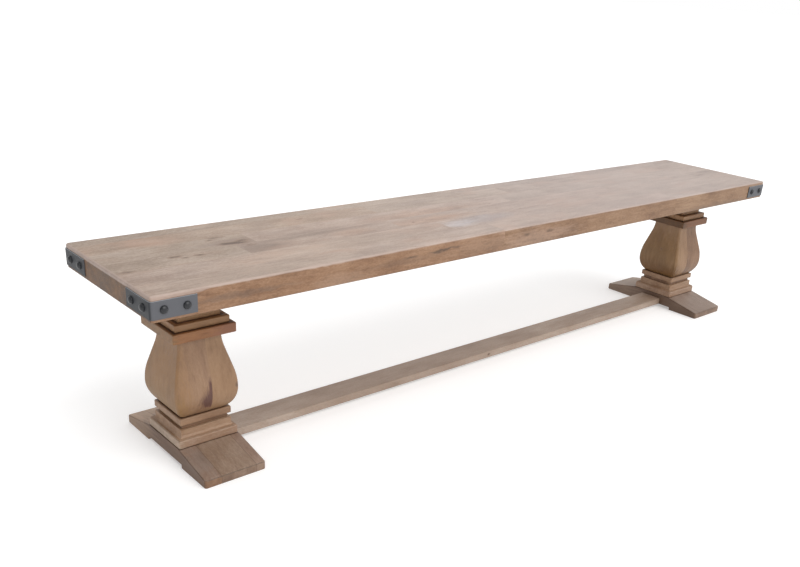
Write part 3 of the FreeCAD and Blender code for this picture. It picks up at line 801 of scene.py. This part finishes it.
def painted_steel(name, colour, worn_colour, dullness, relief_depth, gloss=0.5, end_shade=0.0,
                  highlight_above=None):
    """Satin paint over steel, mottled and a little rubbed. Its end faces may get painted shade,
    and its edge above a height a painted highlight."""
    steel = Finish(name)
    normal = steel.node("ShaderNodeNewGeometry", {}, {}, "Normal")
    end_face = steel.rise(abs(steel.parts_of(normal)[0]), 0.5, 0.9)
    mottle = steel.noise(steel.place, 60.0, 4.0, 0.6)
    speck = steel.noise(steel.place, 900.0, 2.0, 0.6)
    rub = steel.rise(mottle * 0.6 + speck * 0.4, 0.5, 0.8)
    paint = steel.mix(rub * 0.5, colour, worn_colour)
    # Painted shade on the faces that look along X
    if end_shade:
        paint = steel.mix(end_face * end_shade, paint, GUNMETAL_PAINTED_END_SHADE)
    # A painted highlight along the edge above that height
    if highlight_above:
        edge_highlight = steel.rise(steel.z, highlight_above, highlight_above + EDGE_HIGHLIGHT_BORDER)
        paint = steel.mix(edge_highlight, paint, STEEL_EDGE_HIGHLIGHT)
    sockets = {
        "Base Color": paint,
        "Roughness": dullness + mottle * 0.15,
        "Specular IOR Level": gloss,
    }
    return steel.finished(sockets, speck * 0.6 + mottle * 0.4, relief_depth)


strap_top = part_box("corner_bracket_front_left")[1].z
# The straps' end arms get painted shade, and their upper edge a painted highlight
strap_paint = painted_steel(
    "gunmetal_paint", GUNMETAL, GUNMETAL_WORN, 0.45, STRAP_RELIEF, gloss=0.4, end_shade=0.92,
    highlight_above=strap_top - EDGE_HIGHLIGHT_WIDTH,
)
stud_paint = painted_steel("black_stud_paint", STUD_BLACK, STUD_WORN, 0.22, FINE_RELIEF, gloss=0.45)
zinc_plate = painted_steel("zinc_plate", ZINC, ZINC_WORN, 0.35, FINE_RELIEF)

for face in ("front", "back"):
    for side in ("left", "right"):
        dress(f"corner_bracket_{face}_{side}", strap_paint)
for name in ("tie_bolts", "tie_bolt_nuts", "tie_bolt_washers", "coach_screws"):
    dress(name, zinc_plate)


# Smooth domed studs in place of the ten-sided ones

STUD_RADIUS = 0.0085
STUD_HEIGHT = 0.0065
STUD_SHANK_RADIUS = 0.0019
STUD_SHANK_LENGTH = 0.022
STUD_POINT_RADIUS = 0.0006
STUD_POINT_LENGTH = 0.0004
STRAP_THICKNESS = 0.002
STUD_SIDE_INSET = 0.026
STUD_END_INSET = 0.029
STUD_SPACING = 0.048
# The dome starts this far up its curve, and its flat underside ends a little inside it
DOME_START = math.radians(5)
DOME_UNDERCUT = 0.97
DOME_STEPS = 8
STUD_STEPS = 32


def stud_profile():
    """A stud's half outline as (radius, height), from the point of its shank to below its crown."""
    outline = [
        (STUD_POINT_RADIUS, -STUD_SHANK_LENGTH),
        (STUD_SHANK_RADIUS, 0.0),
        (STUD_RADIUS * DOME_UNDERCUT, 0.0),
    ]
    for step in range(DOME_STEPS):
        tilt = DOME_START + (math.pi / 2 - DOME_START) * step / DOME_STEPS
        outline.append((STUD_RADIUS * math.cos(tilt), STUD_HEIGHT * math.sin(tilt)))
    return outline


def add_stud(mesh, foot, outwards):
    """Turns one stud about the direction that it points in, with its head on the foot point."""
    turn = outwards.to_track_quat("Z", "Y").to_matrix()
    rings = []
    for radius, height in stud_profile():
        ring = []
        for step in range(STUD_STEPS):
            angle = 2 * math.pi * step / STUD_STEPS
            point = Vector((radius * math.cos(angle), radius * math.sin(angle), height))
            ring.append(mesh.verts.new(foot + turn @ point))
        rings.append(ring)
    tip = mesh.verts.new(foot + turn @ Vector((0, 0, -STUD_SHANK_LENGTH - STUD_POINT_LENGTH)))
    crown = mesh.verts.new(foot + turn @ Vector((0, 0, STUD_HEIGHT)))
    for step in range(STUD_STEPS):
        after = (step + 1) % STUD_STEPS
        mesh.faces.new((rings[0][after], rings[0][step], tip))
        for lower, upper in zip(rings, rings[1:]):
            mesh.faces.new((lower[step], lower[after], upper[after], upper[step]))
        mesh.faces.new((rings[-1][step], rings[-1][after], crown))


def domed_studs():
    mesh = bmesh.new()
    low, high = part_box("bracket_studs")
    height = (low.z + high.z) / 2
    half_x = -SEAT_LEFT
    half_y = -SEAT_FRONT
    for sx in (-1, 1):
        for sy in (-1, 1):
            for step in (0.0, STUD_SPACING):
                x = sx * (half_x - STUD_SIDE_INSET - step)
                y = sy * (half_y - STUD_END_INSET - step)
                front = Vector((x, sy * (half_y + STRAP_THICKNESS), height))
                end = Vector((sx * (half_x + STRAP_THICKNESS), y, height))
                add_stud(mesh, front, Vector((0, sy, 0)))
                add_stud(mesh, end, Vector((sx, 0, 0)))
    studs = bpy.data.meshes.new("domed_studs")
    mesh.to_mesh(studs)
    mesh.free()
    studs.shade_smooth()
    studs.materials.append(stud_paint)
    piece = bpy.data.objects.new("domed_studs", studs)
    bpy.context.scene.collection.objects.link(piece)
    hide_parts("bracket_studs")
    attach(piece, "root")


domed_studs()


# Eased edges

SHARP_TURN = math.radians(30)
FLAT_TURN = math.radians(0.2)
WELD_REACH = 0.00001
SEAM_REACH = 0.0003
# A side this far inside the glued piece's outline is in a seam
SEAM_INSET = 0.001
ROUNDING_SEGMENTS = 3
# Rounding of each kind of piece
SEAT_EASE = 0.0012
GLUED_EASE = 0.002
BLOCK_EASE = 0.0008
BEARER_EASE = 0.001
STRETCHER_EASE = 0.0012


class EdgeWeights(Tree):
    """A geometry tree that weighs each sharp edge for the bevel, but none in a glued seam."""

    def __init__(self, name, seams):
        self.tree = bpy.data.node_groups.new(name, "GeometryNodeTree")
        for in_out in ("INPUT", "OUTPUT"):
            kind = "NodeSocketGeometry"
            self.tree.interface.new_socket("Geometry", in_out=in_out, socket_type=kind)
        mesh = self.node("NodeGroupInput", {}, {})
        sharp = self.node("GeometryNodeInputMeshEdgeAngle", {}, {}) > SHARP_TURN
        place = self.parts_of(self.node("GeometryNodeInputPosition", {}, {}))
        eased = sharp
        for axis, seam in seams:
            eased = eased * (abs(place[axis] - seam) > SEAM_REACH)
        settings = {"data_type": "FLOAT", "domain": "EDGE"}
        sockets = {"Geometry": mesh, "Name": "bevel_weight_edge", "Value": eased}
        mesh = self.node("GeometryNodeStoreNamedAttribute", settings, sockets)
        for domain, smooth in (("FACE", True), ("EDGE", 1 - sharp + eased)):
            sockets = {"Geometry": mesh, "Shade Smooth": smooth}
            mesh = self.node("GeometryNodeSetShadeSmooth", {"domain": domain}, sockets)
        self.node("NodeGroupOutput", {}, {"Geometry": mesh})


def ease(name, radius, seams=()):
    """Rounds a node's sharp edges in modifiers, apart from those in its glued seams."""
    node = nodes[name]
    weld = node.modifiers.new("weld", "WELD")
    weld.merge_threshold = WELD_REACH
    flats = node.modifiers.new("flats", "DECIMATE")
    flats.decimate_type = "DISSOLVE"
    flats.angle_limit = FLAT_TURN
    weigh = node.modifiers.new("weigh", "NODES")
    weigh.node_group = EdgeWeights(f"{name}_edges", seams).tree
    rounding = node.modifiers.new("rounding", "BEVEL")
    rounding.limit_method = "WEIGHT"
    rounding.width = radius
    rounding.segments = ROUNDING_SEGMENTS
    rounding.use_clamp_overlap = False
    rounding.harden_normals = False
    node.modifiers.new("shading", "WEIGHTED_NORMAL").keep_sharp = True


def seams_between(name, outline_low, outline_high):
    """The planes across X and Y that bound a node inside the outline of what it is glued into."""
    low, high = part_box(name)
    seams = []
    for axis in (0, 1):
        if low[axis] - outline_low[axis] > SEAM_INSET:
            seams.append((axis, low[axis]))
        if outline_high[axis] - high[axis] > SEAM_INSET:
            seams.append((axis, high[axis]))
    return seams


def outline_of(names):
    """The lowest and highest X and Y that a few nodes reach together."""
    boxes = [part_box(name) for name in names]
    lows = [min(box[0][axis] for box in boxes) for axis in (0, 1)]
    highs = [max(box[1][axis] for box in boxes) for axis in (0, 1)]
    return lows, highs


def ease_together(names, radius):
    """Eases nodes that are glued side by side as if they were one piece."""
    outline = outline_of(names)
    for name in names:
        ease(name, radius, seams_between(name, *outline))


stave_names = [
    f"seat_stave_{lane}_{number}" for lane, staves in STAVES.items()
    for number in range(1, len(staves) + 1)
]
ease_together(stave_names, SEAT_EASE)
for side in ("left", "right"):
    ease_together([f"urn_outer_{side}", f"urn_inner_{side}"], GLUED_EASE)
    ease_together([f"{board}_{side}" for board in BOARDS], GLUED_EASE)
    for block in ("neck_block", "cap_step", "cap_plate", "collar", "plinth_top", "plinth_base"):
        ease(f"{block}_{side}", BLOCK_EASE)
    ease(f"bearer_{side}", BEARER_EASE)
ease("stretcher", STRETCHER_EASE)


# Stage

FLOOR_REACH = 60.0
FLOOR_GREY = (0.72, 0.72, 0.72)
FLOOR_GRIT = (0.7, 0.7, 0.7)
WHITE = (1.0, 1.0, 1.0, 1.0)
FLOOR_GLOW = 0.35
SKY_STRENGTH = 1.0
LEFT_SKY_STRENGTH = 0.5
# From where to where the sky dims, towards the left and upwards
SKY_LEFT = (0.1, -0.9)
SKY_HIGH = (0.0, 0.4)
SUN_TOWARDS = (-0.15, 0.75, -0.8)
SUN_WIDTH = math.radians(50)
SUN_STRENGTH = 1.5
SUN_PLACE = (0.0, -2.0, 3.0)


def floor():
    mesh = bpy.data.meshes.new("floor")
    corners = [(x * FLOOR_REACH, y * FLOOR_REACH, 0) for x, y in ((-1, -1), (1, -1), (1, 1), (-1, 1))]
    mesh.from_pydata(corners, [], [(0, 1, 2, 3)])
    plane = bpy.data.objects.new("floor", mesh)
    bpy.context.scene.collection.objects.link(plane)
    paint = Finish("pale_floor")
    grit = paint.noise(paint.place, 40.0, 3.0)
    tone = paint.mix(grit * 0.3, FLOOR_GREY, FLOOR_GRIT)
    glow = {"Emission Color": WHITE, "Emission Strength": FLOOR_GLOW}
    sockets = {"Base Color": tone, "Roughness": 0.9, **glow}
    mesh.materials.append(paint.finished(sockets, grit, 0.0001))
    plane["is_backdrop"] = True


def soft_sun(towards, width, strength):
    """Light from a wide disc of sky that shines along a direction."""
    light = bpy.data.lights.new("soft_sun", "SUN")
    light.angle = width
    light.energy = strength
    lamp = bpy.data.objects.new("soft_sun", light)
    lamp.rotation_euler = Vector(towards).to_track_quat("-Z", "Y").to_euler()
    lamp.location = SUN_PLACE
    bpy.context.scene.collection.objects.link(lamp)


class Sky(Tree):
    """White light from all round, dimmer from high on the left."""

    def __init__(self, strength, left_strength):
        world = bpy.data.worlds.new("studio")
        world.use_nodes = True
        self.tree = world.node_tree
        self.tree.nodes.clear()
        x, _, z = self.parts_of(self.node("ShaderNodeTexCoord", {}, {}, "Generated"))
        settings = {"interpolation_type": "SMOOTHSTEP"}
        left = {"Value": x, "From Min": SKY_LEFT[0], "From Max": SKY_LEFT[1]}
        high = {"Value": z, "From Min": SKY_HIGH[0], "From Max": SKY_HIGH[1]}
        share = self.node("ShaderNodeMapRange", settings, left)
        share = share * self.node("ShaderNodeMapRange", settings, high)
        level = strength - share * (strength - left_strength)
        sockets = {"Color": WHITE, "Strength": level}
        light = self.node("ShaderNodeBackground", {}, sockets)
        self.node("ShaderNodeOutputWorld", {}, {"Surface": light})
        bpy.context.scene.world = world


floor()
Sky(SKY_STRENGTH, LEFT_SKY_STRENGTH)
soft_sun(SUN_TOWARDS, SUN_WIDTH, SUN_STRENGTH)
bpy.context.scene.view_settings.view_transform = "Standard"


# Camera, as the photograph was taken

# The photograph's size, and its focal length and optical axis in its pixels
PHOTO_WIDTH = 800
PHOTO_HEIGHT = 567
FOCAL_PIXELS = 872.4
AXIS_PIXEL = (419.15, 376.23)
CAMERA_PLACE = (-1.78412, -1.64684, 1.03234)
AZIMUTH = math.radians(-43.06)
TILT = math.radians(24.7225)
ROLL = math.radians(4.0273)
SENSOR_WIDTH = 36.0


def photo_camera():
    forward = Vector((
        -math.sin(AZIMUTH) * math.cos(TILT), math.cos(AZIMUTH) * math.cos(TILT), -math.sin(TILT)
    ))
    level = Vector((math.cos(AZIMUTH), math.sin(AZIMUTH), 0.0))
    upright = level.cross(forward)
    right = math.cos(ROLL) * level + math.sin(ROLL) * upright
    up = -math.sin(ROLL) * level + math.cos(ROLL) * upright
    data = bpy.data.cameras.new("photo_camera")
    data.sensor_width = SENSOR_WIDTH
    data.lens = FOCAL_PIXELS * SENSOR_WIDTH / PHOTO_WIDTH
    data.shift_x = (PHOTO_WIDTH / 2 - AXIS_PIXEL[0]) / PHOTO_WIDTH
    data.shift_y = (AXIS_PIXEL[1] - PHOTO_HEIGHT / 2) / PHOTO_WIDTH
    data.clip_start = 0.01
    data.clip_end = 200.0
    camera = bpy.data.objects.new("photo_camera", data)
    camera.matrix_world = Matrix((
        (right.x, up.x, -forward.x, CAMERA_PLACE[0]),
        (right.y, up.y, -forward.y, CAMERA_PLACE[1]),
        (right.z, up.z, -forward.z, CAMERA_PLACE[2]),
        (0.0, 0.0, 0.0, 1.0),
    ))
    bpy.context.scene.collection.objects.link(camera)
    bpy.context.scene.camera = camera


photo_camera()

low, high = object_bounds()
